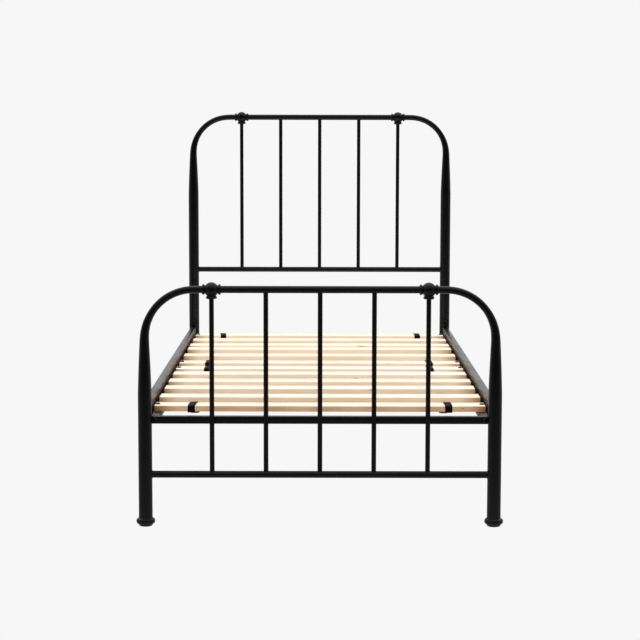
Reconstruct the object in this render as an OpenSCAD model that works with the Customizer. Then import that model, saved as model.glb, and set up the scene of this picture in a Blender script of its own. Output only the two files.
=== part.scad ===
// Single bed frame in black tube: an arched headboard and footboard, two side
// rails with slat ledges, and twelve loose slats in two strapped rolls.
// Origin: on the floor, at the centre of the bed. +Z up, +Y to the headboard.

/* [Bed size] */
// Left post centre line to right post centre line
post_spacing = 940; // [700:5:1850]
// Footboard plane to headboard plane, centre line to centre line
end_spacing = 1930; // [1600:5:2150]
// Floor to the axis of the footboard's top tube
footboard_h = 641; // [540:1:800]
// Floor to the axis of the headboard's top tube
headboard_h = 1109; // [900:1:1400]
// Floor to the axis of the footboard's lower bar
lower_bar_h = 141; // [90:1:200]
// Floor to the axis of the headboard's crossbar
crossbar_h = 543; // [420:1:700]

/* [Tubes] */
// Outer diameter of the posts where they are straight
post_d = 36; // [28:0.5:50]
// Outer diameter of the top tubes and of the narrow ends of the posts
arch_d = 17; // [14:0.5:25]
// Outer diameter of the footboard's lower bar and the headboard's crossbar
bar_d = 17; // [14:0.5:25]
// Outer diameter of the spindles
spindle_d = 11; // [8:0.5:16]
// Wall of every tube
tube_wall = 1.5; // [1:0.1:3]
// Radius of the corner bends at the tube's axis
bend_r = 132; // [80:1:220]
// Straight length below the bend over which a post starts to narrow
taper_below_bend = 150; // [60:1:250]
// Length along the bend over which a post goes on narrowing
taper_in_bend = 80; // [40:1:120]
// Distance between spindles, centre to centre
spindle_pitch = 145; // [90:1:200]
// Flare of the weld at each end of a bar, beyond the bar's own surface
weld_flare = 3; // [1:0.5:6]

/* [Knuckles] */
// Diameter of the ball of a cast knuckle
ball_d = 39; // [30:0.5:60]
// Diameter of the neck between the ball and a collar, on the top tube
neck_d = 23; // [20:0.5:30]
// Diameter of the bead on each collar of the top tube
collar_d = 29; // [25:0.5:40]
// Diameter of the neck under the ball
under_neck_d = 26; // [18:0.5:30]
// Diameter of the bead on the collar under the ball
under_collar_d = 30; // [22:0.5:40]
// Width of a bead
bead_w = 7; // [4:0.5:10]
// Ball centre to the middle of a collar's bead
bead_at = 21.5; // [18:0.5:30]
// Depth of the sockets that hold the tubes and the spindle
socket_depth = 17; // [10:0.5:20]
// Play between a tube and its socket, all round
socket_play = 0.1; // [0.05:0.05:0.3]

/* [Feet] */
// Largest diameter of a foot
foot_d = 51; // [40:0.5:70]
// Height of the foot below the end of its post
foot_h = 29; // [20:0.5:45]
// Length of the spigot that holds a foot in its post
spigot_h = 25; // [10:0.5:40]
// Play between a spigot and the bore of its post, all round
spigot_play = 0.2; // [0.1:0.05:0.5]

/* [Rails] */
// Floor to the top of the side rails
rail_top = 328; // [250:1:420]
// Height of a side rail
rail_h = 40; // [30:1:60]
// Width of a side rail
rail_w = 20; // [15:1:30]
// Distance by which a side rail's middle stands outside the post's axis
rail_outset = 2; // [0:0.5:5]
// Depth of the ledge's top below the top of the side rail
ledge_drop = 30.5; // [20:0.5:36]
// Width of the ledge that carries the slats
ledge_w = 29; // [20:0.5:45]
// Height of the ledge's turned-down lip
lip_h = 15; // [8:0.5:25]
// Thickness of the ledge's sheet
ledge_t = 2.5; // [1.5:0.1:4]
// Height and width of the square end rails
end_rail_w = 20; // [15:1:30]
// Gap between the plane of the spindles and the front of an end rail
end_rail_gap = 6; // [5.5:0.5:12]
// Height of the curved plates on the ends of the side rails
saddle_h = 100; // [80:1:120]
// Thickness of the curved plates
saddle_t = 4; // [3:0.5:6]
// Width of the curved plates
saddle_w = 28; // [20:1:30]
// Thickness of the tabs that the end rails are bolted to
tab_t = 3; // [2:0.5:5]
// Height of the tabs
tab_h = 15; // [12:0.5:20]

/* [Slats] */
// Slats in each of the two rolls
slats_per_roll = 6; // [5:1:8]
// Width of a slat
slat_w = 70; // [50:1:90]
// Thickness of a slat
slat_t = 15; // [8:0.5:20]
// Gap between the end of a slat and the side rail
slat_end_gap = 8.5; // [5:0.5:12]
// End plane of the frame to the first and the last slat
slat_start = 92; // [60:1:120]
// How far each slat has slid along the straps from its even place
slat_slip = [0, 9, 22, 14, 19, -9, -22, 8, 34, -14, -12, -12];
// Radius of a slat's corners
slat_corner = 3; // [1:0.5:6]
// Middle of the bed to the middle of a strap
strap_x = 352; // [200:1:420]
// Width of a strap
strap_w = 20; // [15:1:40]
// Thickness of a strap
strap_t = 1.5; // [1:0.1:2.5]

/* [Fasteners] */
// Thread diameter of the bolts that hold the side rails
rail_bolt_d = 8; // [6:1:10]
// Head diameter of those bolts
rail_bolt_head_d = 12.4; // [11:0.1:18]
// Distance of each of those bolts above and below the rail's middle
rail_bolt_rise = 40; // [32:1:46]
// Thread diameter of the bolts that hold the end rails
tab_bolt_d = 6; // [5:1:8]
// Head diameter of those bolts
tab_bolt_head_d = 12; // [10:0.5:14]
// Shank diameter of the screws that hold the slats
slat_screw_d = 5; // [4:0.5:6]
// Head diameter of those screws
slat_screw_head_d = 11.5; // [9:0.5:14]
// Play between a shank and the hole it passes through, all round
hole_play = 0.3; // [0.1:0.1:1]

/* [Hidden] */
$fn = 64;
eps = 0.01;
post_x = post_spacing / 2;
end_y = end_spacing / 2;
post_r = post_d / 2;
arch_r = arch_d / 2;
bar_r = bar_d / 2;
spindle_r = spindle_d / 2;
knuckle_x = 2 * spindle_pitch;
bead_r = bead_w / 2;
socket_floor = bead_at + bead_r + 1 - socket_depth;
rail_mid = rail_top - rail_h / 2;
rail_x = post_x + rail_outset;
rail_inner = rail_x - rail_w / 2;
ledge_top = rail_top - ledge_drop;
ledge_inner = rail_inner - ledge_w;
slat_top = ledge_top + slat_t;
slat_len = 2 * (rail_inner - slat_end_gap);
slat_count = 2 * slats_per_roll;
slat_pitch = (end_spacing - 2 * slat_start - slat_w) / (slat_count - 1);
end_rail_end = post_x - saddle_w / 2 - 1;
tab_bolt_x = post_x - post_r - 9.5;
tab_z = ledge_top - tab_h / 2 - 3;
screw_x = slat_len / 2 - 7.5;
saddle_r = post_r + saddle_t;
taper_len = taper_below_bend + taper_in_bend;
arc_len = bend_r * PI / 2;
sweep_sides = 24;
sweep_rings = 15;
skin_shrink = 0.985;
bore_stretch = 1.01;

// Colours

module black_paint() {
    color([0.06, 0.06, 0.065]) children();
}

module pine() {
    color([0.93, 0.84, 0.7]) children();
}

module webbing() {
    color([0.03, 0.03, 0.03]) children();
}

module dark_steel() {
    color([0.1, 0.1, 0.1]) children();
}

// Placing: side is -1 on the left and 1 on the right, end is -1 at the
// footboard and 1 at the headboard. Both turn a piece made for the back right.

module at_corner(side, end, x, y) {
    mirror([side < 0 ? 1 : 0, 0, 0])
        mirror([0, end < 0 ? 1 : 0, 0])
            translate([x, y, 0])
                children();
}

// A cylinder from the origin along +X, or along +Y
module rod_x(r, l) {
    rotate([0, 90, 0]) cylinder(r = r, h = l);
}

module rod_y(r, l) {
    rotate([-90, 0, 0]) cylinder(r = r, h = l);
}

// Posts: straight, then narrowing, then bent over to the knuckle

// Radius of a post at a distance s past the start of its bend
function post_radius(s) =
    post_r + (arch_r - post_r) * min(1, max(0, (s + taper_below_bend) / taper_len));

// Points round one section of a post, at a distance s past the start of its bend
function post_ring(s, start_h, r) =
    let (angle = min(90, max(0, s) / bend_r * 180 / PI), past = max(0, s - arc_len))
    [for (k = [0 : sweep_sides - 1])
        let (turn = 360 * k / sweep_sides, out = bend_r + r * cos(turn))
        [out * cos(angle) - bend_r - past, r * sin(turn), start_h + out * sin(angle) + min(0, s)]];

// The bent end of a post as one tube: its outer skin, then its bore. Both skins
// start inside the wall of the straight part, so the two parts join cleanly.
module bent_tube(start_h, reach) {
    stations = concat([-1], [for (i = [0 : sweep_rings]) arc_len * i / sweep_rings], [arc_len + reach]);
    last = len(stations) - 1;
    skin = len(stations) * sweep_sides;
    outer = [for (s = stations) each post_ring(s, start_h, post_radius(s) * skin_shrink)];
    inner = [for (s = stations) each post_ring(s, start_h, (post_radius(s) - tube_wall) * bore_stretch)];
    ring = [for (k = [0 : sweep_sides - 1]) [k, (k + 1) % sweep_sides]];
    outer_faces = [for (i = [0 : last - 1], p = ring)
        let (a = i * sweep_sides, b = a + sweep_sides)
        each [[a + p[0], b + p[0], b + p[1]], [a + p[0], b + p[1], a + p[1]]]];
    inner_faces = [for (f = outer_faces) [f[0] + skin, f[2] + skin, f[1] + skin]];
    top = last * sweep_sides;
    low_faces = [for (p = ring)
        each [[p[0], p[1], p[1] + skin], [p[0], p[1] + skin, p[0] + skin]]];
    high_faces = [for (p = ring)
        each [[top + p[0], top + p[1] + skin, top + p[1]], [top + p[0], top + p[0] + skin, top + p[1] + skin]]];
    polyhedron(points = concat(outer, inner),
        faces = concat(outer_faces, inner_faces, low_faces, high_faces), convexity = 6);
}

// The straight part of a post, drawn in by inset for its bore
module straight_outline(taper_h, inset, extra) {
    translate([0, 0, foot_h - extra])
        cylinder(r = post_r - inset, h = taper_h - foot_h + extra);
    translate([0, 0, taper_h])
        cylinder(r1 = post_r - inset, r2 = post_radius(0) - inset, h = taper_below_bend);
}

module post(side, end, top_h) {
    start_h = top_h - bend_r;
    taper_h = start_h - taper_below_bend;
    black_paint()
        at_corner(side, end, post_x, end_y) {
            difference() {
                straight_outline(taper_h, 0, 0);
                straight_outline(taper_h, tube_wall, 1);
                for (rise = [-rail_bolt_rise, rail_bolt_rise])
                    translate([0, -post_r - 1, rail_mid + rise])
                        rod_y(rail_bolt_d / 2 + hole_play, post_r);
            }
            bent_tube(start_h, post_x - knuckle_x - socket_floor - bend_r);
        }
}

module foot(side, end) {
    ring_r = foot_d / 2;
    ring_z = foot_h * 0.62;
    bulge = foot_h * 0.17;
    black_paint()
        at_corner(side, end, post_x, end_y)
            rotate_extrude() {
                polygon([[0, 0], [ring_r - 11.5, 0], [ring_r - 9.4, foot_h * 0.12],
                    [ring_r - 7.4, foot_h * 0.26], [ring_r - 5.8, foot_h * 0.35],
                    [ring_r - 3.2, ring_z - bulge], [ring_r - 3.2, ring_z + bulge],
                    [ring_r - 5.4, foot_h * 0.92], [post_r, foot_h],
                    [post_r - tube_wall - spigot_play, foot_h],
                    [post_r - tube_wall - spigot_play, foot_h + spigot_h - 1],
                    [post_r - tube_wall - spigot_play - 1, foot_h + spigot_h],
                    [0, foot_h + spigot_h]]);
                translate([ring_r - bulge, ring_z]) circle(r = bulge);
            }
}

// Top tubes and cast knuckles

module top_tube(end, top_h) {
    half = knuckle_x - socket_floor;
    black_paint()
        translate([0, end * end_y, top_h])
            difference() {
                translate([-half, 0, 0]) rod_x(arch_r, 2 * half);
                translate([-half - 1, 0, 0]) rod_x(arch_r - tube_wall, 2 * half + 2);
                for (k = [-1, 0, 1])
                    translate([k * spindle_pitch, 0, -arch_r - 1])
                        cylinder(r = spindle_r, h = arch_r);
            }
}

// A beaded collar on +Z round a rod of radius tube_r, from the ball's centre
module collar(bead_out, neck, tube_r) {
    cylinder(r = neck / 2, h = bead_at + bead_r - 2);
    translate([0, 0, bead_at])
        rotate_extrude()
            translate([bead_out / 2 - bead_r, 0])
                circle(r = bead_r);
    translate([0, 0, bead_at + bead_r - 2])
        cylinder(r1 = min(neck, bead_out - bead_w + 2) / 2, r2 = tube_r + 0.8, h = 3);
}

module knuckle(side, end, top_h) {
    black_paint()
        translate([side * knuckle_x, end * end_y, top_h])
            difference() {
                union() {
                    sphere(d = ball_d);
                    rotate([0, 90, 0]) collar(collar_d, neck_d, arch_r);
                    rotate([0, -90, 0]) collar(collar_d, neck_d, arch_r);
                    rotate([180, 0, 0]) collar(under_collar_d, under_neck_d, spindle_r);
                }
                for (way = [-1, 1])
                    mirror([way < 0 ? 1 : 0, 0, 0])
                        translate([socket_floor, 0, 0])
                            rod_x(arch_r + socket_play, socket_depth + 5);
                translate([0, 0, -socket_floor - socket_depth - 5])
                    cylinder(r = spindle_r + socket_play, h = socket_depth + 5);
            }
}

// Bars and spindles

// A cross tube between the posts, its ends cut to the posts' round
module cross_bar(end, bar_h) {
    black_paint()
        translate([0, end * end_y, 0])
            difference() {
                union() {
                    translate([-post_x, 0, bar_h]) rod_x(bar_r, post_spacing);
                    for (side = [-1, 1])
                        mirror([side < 0 ? 1 : 0, 0, 0])
                            translate([post_x - post_r - 5, 0, bar_h])
                                rotate([0, 90, 0])
                                    cylinder(r1 = bar_r, r2 = bar_r + weld_flare, h = 8);
                }
                translate([-post_x - 1, 0, bar_h]) rod_x(bar_r - tube_wall, post_spacing + 2);
                for (side = [-1, 1])
                    translate([side * post_x, 0, bar_h - 2 * bar_d])
                        cylinder(r = post_r, h = 4 * bar_d);
            }
}

// A solid rod that stands on a bar and ends in a tube or a knuckle.
// Its foot is cut to the bar's round; its head goes 4 mm into the top tube.
module spindle(index, end, bar_h, top_h) {
    place = index - 3;
    head_h = abs(place) == 2 ? top_h - socket_floor : top_h - arch_r + 4;
    black_paint()
        translate([place * spindle_pitch, end * end_y, 0])
            difference() {
                translate([0, 0, bar_h]) cylinder(r = spindle_r, h = head_h - bar_h);
                translate([-spindle_d, 0, bar_h]) rod_x(bar_r, 2 * spindle_d);
            }
}

// Rails

module end_rail(end) {
    wall = tube_wall;
    black_paint()
        mirror([0, end < 0 ? 1 : 0, 0])
            translate([0, end_y - end_rail_gap - end_rail_w, ledge_top - end_rail_w])
                difference() {
                    translate([-end_rail_end, 0, 0])
                        cube([2 * end_rail_end, end_rail_w, end_rail_w]);
                    translate([-end_rail_end - 1, wall, wall])
                        cube([2 * end_rail_end + 2, end_rail_w - 2 * wall, end_rail_w - 2 * wall]);
                    for (side = [-1, 1]) {
                        translate([side * post_x, end_rail_gap + end_rail_w, -1])
                            cylinder(r = post_r, h = end_rail_w + 2);
                        translate([side * tab_bolt_x, end_rail_w - wall - 1, tab_z - ledge_top + end_rail_w])
                            rod_y(tab_bolt_d / 2, wall + 2);
                    }
                }
}

// The round-ended tab on a post that an end rail is bolted to
module tab(side, end) {
    gap = end_rail_gap - tab_t;
    black_paint()
        at_corner(side, end, 0, end_y - end_rail_gap)
            difference() {
                union() {
                    translate([tab_bolt_x, 0, tab_z - tab_h / 2])
                        cube([post_x - tab_bolt_x, tab_t, tab_h]);
                    translate([tab_bolt_x, 0, tab_z]) rod_y(tab_h / 2, tab_t);
                }
                translate([post_x, end_rail_gap, tab_z - tab_h]) cylinder(r = post_r, h = 2 * tab_h);
                translate([tab_bolt_x, -gap - 1, tab_z]) rod_y(tab_bolt_d / 2 + hole_play, end_rail_gap + 2);
            }
}

// The curved plate that seats a side rail on a post
module saddle(side, end) {
    black_paint()
        at_corner(side, end, post_x, end_y)
            difference() {
                intersection() {
                    translate([0, 0, rail_mid - saddle_h / 2]) cylinder(r = saddle_r, h = saddle_h);
                    translate([-saddle_w / 2, -saddle_r - 1, rail_mid - saddle_h / 2])
                        cube([saddle_w, saddle_r + 1, saddle_h]);
                }
                translate([0, 0, rail_mid - saddle_h / 2 - 1]) cylinder(r = post_r, h = saddle_h + 2);
                for (rise = [-rail_bolt_rise, rail_bolt_rise])
                    translate([0, -saddle_r - 1, rail_mid + rise])
                        rod_y(rail_bolt_d / 2 + hole_play, saddle_r);
            }
}

module side_rail(side) {
    black_paint()
        mirror([side < 0 ? 1 : 0, 0, 0])
            difference() {
                translate([rail_inner, -end_y, rail_top - rail_h])
                    cube([rail_w, end_spacing, rail_h]);
                translate([rail_inner + tube_wall, -end_y - 1, rail_top - rail_h + tube_wall])
                    cube([rail_w - 2 * tube_wall, end_spacing + 2, rail_h - 2 * tube_wall]);
                for (end = [-1, 1])
                    translate([post_x, end * end_y, rail_mid - rail_h])
                        cylinder(r = saddle_r, h = 2 * rail_h);
            }
}

// The sheet ledge with its turned-down lip, between the two end rails
module slat_ledge(side) {
    ledge_end = end_y - end_rail_gap - end_rail_w;
    black_paint()
        mirror([side < 0 ? 1 : 0, 0, 0])
            difference() {
                union() {
                    translate([ledge_inner, -ledge_end, ledge_top - ledge_t])
                        cube([ledge_w, 2 * ledge_end, ledge_t]);
                    translate([ledge_inner, -ledge_end, ledge_top - lip_h])
                        cube([ledge_t, 2 * ledge_end, lip_h]);
                }
                for (i = screwed_slats)
                    translate([screw_x, slat_y(i), ledge_top - ledge_t - 1])
                        cylinder(r = slat_screw_d / 2, h = ledge_t + 2);
            }
}

// Slats

// The slats at the ends of each roll, which are screwed and strapped round
screwed_slats = [0, slats_per_roll - 1, slats_per_roll, slat_count - 1];

// Middle of slat i, counted from 0 at the footboard
function slat_y(i) =
    -end_y + slat_start + slat_w / 2 + i * slat_pitch + (i < len(slat_slip) ? slat_slip[i] : 0);

module slat(i) {
    cx = slat_len / 2 - slat_corner;
    cy = slat_w / 2 - slat_corner;
    screwed = len(search(i, screwed_slats)) > 0;
    pine()
        translate([0, slat_y(i), ledge_top])
            difference() {
                union() {
                    translate([-cx, -slat_w / 2, 0]) cube([2 * cx, slat_w, slat_t]);
                    translate([-slat_len / 2, -cy, 0]) cube([slat_len, 2 * cy, slat_t]);
                    for (x = [-cx, cx], y = [-cy, cy])
                        translate([x, y, 0]) cylinder(r = slat_corner, h = slat_t);
                }
                if (screwed)
                    for (side = [-1, 1])
                        translate([side * screw_x, 0, -1])
                            cylinder(r = slat_screw_d / 2 + hole_play, h = slat_t + 2);
            }
}

// A webbing strap: a run under one roll with a loop round its two end slats
module strap(side, roll) {
    first = roll * slats_per_roll;
    last = first + slats_per_roll - 1;
    webbing()
        translate([side * strap_x - strap_w / 2, 0, ledge_top]) {
            translate([0, slat_y(first), -strap_t])
                cube([strap_w, slat_y(last) - slat_y(first), strap_t]);
            for (i = [first, last])
                translate([0, slat_y(i) - slat_w / 2, 0])
                    difference() {
                        translate([0, -strap_t, -strap_t])
                            cube([strap_w, slat_w + 2 * strap_t, slat_t + 2 * strap_t]);
                        translate([-1, 0, 0]) cube([strap_w + 2, slat_w, slat_t]);
                    }
        }
}

// Fasteners

// A round-headed bolt: the head's seat is at the origin and its shank runs
// along -Z. The head is a slice of a ball, with a hexagon socket.
module round_head_bolt(shank_d, head_d, shank_l) {
    head_h = head_d * 0.3;
    ball_r = (head_d * head_d / 4 + head_h * head_h) / (2 * head_h);
    translate([0, 0, -shank_l]) cylinder(d = shank_d, h = shank_l + eps);
    difference() {
        intersection() {
            translate([0, 0, head_h - ball_r]) sphere(r = ball_r);
            cylinder(d = head_d, h = head_h + 1);
        }
        translate([0, 0, head_h * 0.4]) cylinder(d = head_d * 0.4, h = head_h, $fn = 6);
    }
}

module rail_bolts() {
    bolt_l = saddle_r - 4;
    dark_steel()
        for (side = [-1, 1], end = [-1, 1], rise = [-rail_bolt_rise, rail_bolt_rise])
            at_corner(side, end, post_x, end_y)
                translate([0, -saddle_r, rail_mid + rise])
                    rotate([90, 0, 0])
                        round_head_bolt(rail_bolt_d, rail_bolt_head_d, bolt_l);
}

// Square nuts welded inside the posts, behind the bolt holes
module rail_nuts() {
    nut_w = rail_bolt_d * 1.6;
    nut_t = rail_bolt_d * 0.8;
    bore_r = post_r - tube_wall;
    seat = sqrt(bore_r * bore_r - nut_w * nut_w / 4);
    dark_steel()
        for (side = [-1, 1], end = [-1, 1], rise = [-rail_bolt_rise, rail_bolt_rise])
            at_corner(side, end, post_x, end_y)
                translate([0, -seat, rail_mid + rise])
                    difference() {
                        translate([-nut_w / 2, 0, -nut_w / 2]) cube([nut_w, nut_t, nut_w]);
                        translate([0, -1, 0]) rod_y(rail_bolt_d / 2, nut_t + 2);
                    }
}

module end_rail_bolts() {
    dark_steel()
        for (side = [-1, 1], end = [-1, 1])
            at_corner(side, end, tab_bolt_x, end_y - end_rail_gap + tab_t)
                translate([0, 0, tab_z])
                    rotate([-90, 0, 0])
                        round_head_bolt(tab_bolt_d, tab_bolt_head_d, tab_t + 2 * tube_wall + 4);
}

module slat_screws() {
    screw_l = slat_t + ledge_t + 6;
    dark_steel()
        for (side = [-1, 1], i = screwed_slats)
            translate([side * screw_x, slat_y(i), slat_top])
                round_head_bolt(slat_screw_d, slat_screw_head_d, screw_l);
}

post(-1, -1, footboard_h);  // footboard_post_left
post(1, -1, footboard_h);  // footboard_post_right
top_tube(-1, footboard_h);  // footboard_top_tube
knuckle(-1, -1, footboard_h);  // footboard_knuckle_left
knuckle(1, -1, footboard_h);  // footboard_knuckle_right
cross_bar(-1, lower_bar_h);  // footboard_lower_bar
spindle(1, -1, lower_bar_h, footboard_h);  // footboard_spindle_1
spindle(2, -1, lower_bar_h, footboard_h);  // footboard_spindle_2
spindle(3, -1, lower_bar_h, footboard_h);  // footboard_spindle_3
spindle(4, -1, lower_bar_h, footboard_h);  // footboard_spindle_4
spindle(5, -1, lower_bar_h, footboard_h);  // footboard_spindle_5
end_rail(-1);  // footboard_end_rail
tab(-1, -1);  // footboard_tab_left
tab(1, -1);  // footboard_tab_right
post(-1, 1, headboard_h);  // headboard_post_left
post(1, 1, headboard_h);  // headboard_post_right
top_tube(1, headboard_h);  // headboard_top_tube
knuckle(-1, 1, headboard_h);  // headboard_knuckle_left
knuckle(1, 1, headboard_h);  // headboard_knuckle_right
cross_bar(1, crossbar_h);  // headboard_crossbar
spindle(1, 1, crossbar_h, headboard_h);  // headboard_spindle_1
spindle(2, 1, crossbar_h, headboard_h);  // headboard_spindle_2
spindle(3, 1, crossbar_h, headboard_h);  // headboard_spindle_3
spindle(4, 1, crossbar_h, headboard_h);  // headboard_spindle_4
spindle(5, 1, crossbar_h, headboard_h);  // headboard_spindle_5
end_rail(1);  // headboard_end_rail
tab(-1, 1);  // headboard_tab_left
tab(1, 1);  // headboard_tab_right
foot(-1, -1);  // foot_front_left
foot(1, -1);  // foot_front_right
foot(-1, 1);  // foot_back_left
foot(1, 1);  // foot_back_right
side_rail(-1);  // side_rail_left
side_rail(1);  // side_rail_right
slat_ledge(-1);  // slat_ledge_left
slat_ledge(1);  // slat_ledge_right
saddle(-1, -1);  // saddle_front_left
saddle(1, -1);  // saddle_front_right
saddle(-1, 1);  // saddle_back_left
saddle(1, 1);  // saddle_back_right
slat(0);  // slat_01
slat(1);  // slat_02
slat(2);  // slat_03
slat(3);  // slat_04
slat(4);  // slat_05
slat(5);  // slat_06
slat(6);  // slat_07
slat(7);  // slat_08
slat(8);  // slat_09
slat(9);  // slat_10
slat(10);  // slat_11
slat(11);  // slat_12
strap(-1, 0);  // strap_front_left
strap(1, 0);  // strap_front_right
strap(-1, 1);  // strap_back_left
strap(1, 1);  // strap_back_right
rail_bolts();
rail_nuts();
end_rail_bolts();
slat_screws();
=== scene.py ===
# %% [markdown]
# # A single bed frame in black tube
#
# The bed is an arched footboard and a taller arched headboard of steel tube, two side rails,
# and twelve softwood slats held in two rolls by webbing straps. This file dresses the packed
# frame: it makes each piece that shows as a smooth surface, and gives every piece a finish.
# Lengths are in metres, +Z is up and +Y points to the headboard.

# %% The frame and its sizes
import math

import bpy
import numpy as np
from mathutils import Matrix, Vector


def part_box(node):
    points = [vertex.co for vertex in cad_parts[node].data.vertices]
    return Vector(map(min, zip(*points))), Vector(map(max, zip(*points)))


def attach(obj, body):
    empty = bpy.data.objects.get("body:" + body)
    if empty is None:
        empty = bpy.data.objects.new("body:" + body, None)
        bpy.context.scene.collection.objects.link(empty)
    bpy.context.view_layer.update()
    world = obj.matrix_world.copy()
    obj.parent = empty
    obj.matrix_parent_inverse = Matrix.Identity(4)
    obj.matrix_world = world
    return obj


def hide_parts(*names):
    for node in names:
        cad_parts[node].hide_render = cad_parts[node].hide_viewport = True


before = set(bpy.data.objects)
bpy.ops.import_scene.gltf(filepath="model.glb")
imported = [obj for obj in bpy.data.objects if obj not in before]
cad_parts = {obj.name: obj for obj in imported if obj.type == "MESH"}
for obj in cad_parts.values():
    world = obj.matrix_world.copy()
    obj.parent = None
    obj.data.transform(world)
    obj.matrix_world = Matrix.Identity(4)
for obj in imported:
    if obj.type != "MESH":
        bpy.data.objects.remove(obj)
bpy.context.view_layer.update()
SIDES = {"left": -1, "right": 1}
ENDS = {"footboard": -1, "headboard": 1}
CORNERS = [(end, way, side_name, side) for end, way in ENDS.items()
           for side_name, side in SIDES.items()]


def span(node, axis):
    """Lowest and highest value of a node along one axis, 0 for X, 1 for Y and 2 for Z."""
    low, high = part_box(node)
    return float(low[axis]), float(high[axis])


def middle(node, axis):
    """Halfway point of a node along one axis."""
    low, high = span(node, axis)
    return (low + high) / 2


def width(node, axis):
    """Size of a node along one axis."""
    low, high = span(node, axis)
    return high - low


post_x = middle("foot_front_right", 0)
end_y = middle("foot_back_right", 1)
post_r = width("footboard_post_right", 1) / 2
coat = 0.0006  # how far the skin of a post or rod stands off the bare tube
arch_extra = 0.0007  # what the thin tubes need beyond that to look their right width
bar_extra = 0.0003
spindle_extra = 0.0004
arch_r = width("footboard_top_tube", 2) / 2 + arch_extra
bar_r = width("footboard_top_tube", 2) / 2 + bar_extra
spindle_r = width("footboard_spindle_3", 0) / 2 + spindle_extra
foot_h = span("footboard_post_right", 2)[0]
foot_r = width("foot_front_right", 0) / 2
knuckle_x = middle("footboard_knuckle_right", 0)
top_h = {end: middle(f"{end}_top_tube", 2) for end in ENDS}
bar_node = {"footboard": "footboard_lower_bar", "headboard": "headboard_crossbar"}
bar_h = {end: middle(node, 2) for end, node in bar_node.items()}
ledge_top, slat_top = span("slat_01", 2)
print("posts at", round(post_x, 4), "ends at", round(end_y, 4), "top tubes at", top_h)

# %% [markdown]
# ## The camera
#
# A long lens in front of the footboard and a little above it gives the calm, nearly square-on
# view of a catalogue. The camera could be aimed with a constraint, but three plain angles are
# easy to read and to repeat.

# %% Camera
camera_data = bpy.data.cameras.new("catalogue_camera")
camera_data.sensor_width = 36.0
camera_data.lens = 100.29  # focal length in millimetres
camera_place = (-0.0069, -5.6982, 1.0687)
tilt_roll_turn = (83.861, -0.105, -0.068)  # degrees; a tilt of 90 looks level
camera = bpy.data.objects.new("catalogue_camera", camera_data)
camera.location = camera_place
camera.rotation_euler = [math.radians(angle) for angle in tilt_roll_turn]
bpy.context.scene.collection.objects.link(camera)
bpy.context.scene.camera = camera
bpy.context.scene.view_settings.view_transform = "Standard"
print("camera", round(-camera.location.y - end_y, 3), "m in front of the footboard")

# %% [markdown]
# ## Light and floor
#
# Black tube shows mostly what it mirrors: a dim room round the camera for a dark core, and
# paleness beside and behind the bed for softly lit edges. Area lamps could do it, but they add
# hard edges to the reflections. So the sky is a sum of three smooth parts: sides that fade
# towards the camera, a backdrop and a ceiling. To the camera itself it is plain paper.

# %% Sky
PAPER = 0.93  # how bright the seamless paper looks to the camera


def set_inputs(node, values):
    """Sets a node's inputs by name."""
    for name, value in values.items():
        node.inputs[name].default_value = value


def node_of(tree, kind, **inputs):
    """A new shader node in a tree, with the given inputs set by name."""
    node = tree.nodes.new("ShaderNode" + kind)
    set_inputs(node, inputs)
    return node


def xyz_of(tree, vector):
    """The three parts of a vector output."""
    parts = node_of(tree, "SeparateXYZ")
    tree.links.new(vector, parts.inputs[0])
    return parts.outputs["X"], parts.outputs["Y"], parts.outputs["Z"]


def calc(tree, operation, first, second=None, clamp=False):
    """A Math node. Each value is a number or the output that feeds it."""
    node = node_of(tree, "Math")
    node.operation = operation
    node.use_clamp = clamp
    for slot, value in enumerate([first, second]):
        if value is None:
            continue
        if isinstance(value, (int, float)):
            node.inputs[slot].default_value = value
        else:
            tree.links.new(value, node.inputs[slot])
    return node.outputs[0]


def times(tree, first, second, clamp=False):
    """A product of two values."""
    return calc(tree, "MULTIPLY", first, second, clamp)


def smooth_step(tree, value, low, high, from_value=0.0, to_value=1.0):
    """A Map Range node that turns smoothly from one value to another between low and high."""
    node = node_of(tree, "MapRange")
    node.interpolation_type = "SMOOTHSTEP"
    tree.links.new(value, node.inputs["Value"])
    set_inputs(node, {"From Min": low, "From Max": high, "To Min": from_value,
                      "To Max": to_value})
    return node.outputs["Result"]


sky = bpy.data.worlds.new("studio")
bpy.context.scene.world = sky
sky.use_nodes = True
tree = sky.node_tree
tree.nodes.clear()
_, away, upward = xyz_of(tree, node_of(tree, "TexCoord").outputs["Generated"])
sides = smooth_step(tree, away, -0.85, 0.30, 0.01, 0.52)
backdrop = smooth_step(tree, away, 0.55, 1.0, 0.0, 0.42)
ceiling = smooth_step(tree, upward, 0.25, 1.0, 0.0, 0.5)
room = calc(tree, "ADD", calc(tree, "ADD", sides, backdrop), ceiling)
camera_ray = node_of(tree, "LightPath").outputs["Is Camera Ray"]
seen = node_of(tree, "Mix")
seen.data_type = "FLOAT"
tree.links.new(camera_ray, seen.inputs[0])
tree.links.new(room, seen.inputs[2])
seen.inputs[3].default_value = PAPER
background = node_of(tree, "Background", Color=(1.0, 1.0, 1.0, 1.0))
tree.links.new(seen.outputs[0], background.inputs["Strength"])
world_out = node_of(tree, "OutputWorld")
tree.links.new(background.outputs[0], world_out.inputs["Surface"])
print("sky of", len(tree.nodes), "nodes")

# %% [markdown]
# Wood needs more light than that sky gives. Two broad lamps add it, one from overhead for the
# slats' tops and one from the camera's side for their front edges. A stronger sky would light
# the wood too, but the black tube would mirror it, and lamps can be left out of reflections.


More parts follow.
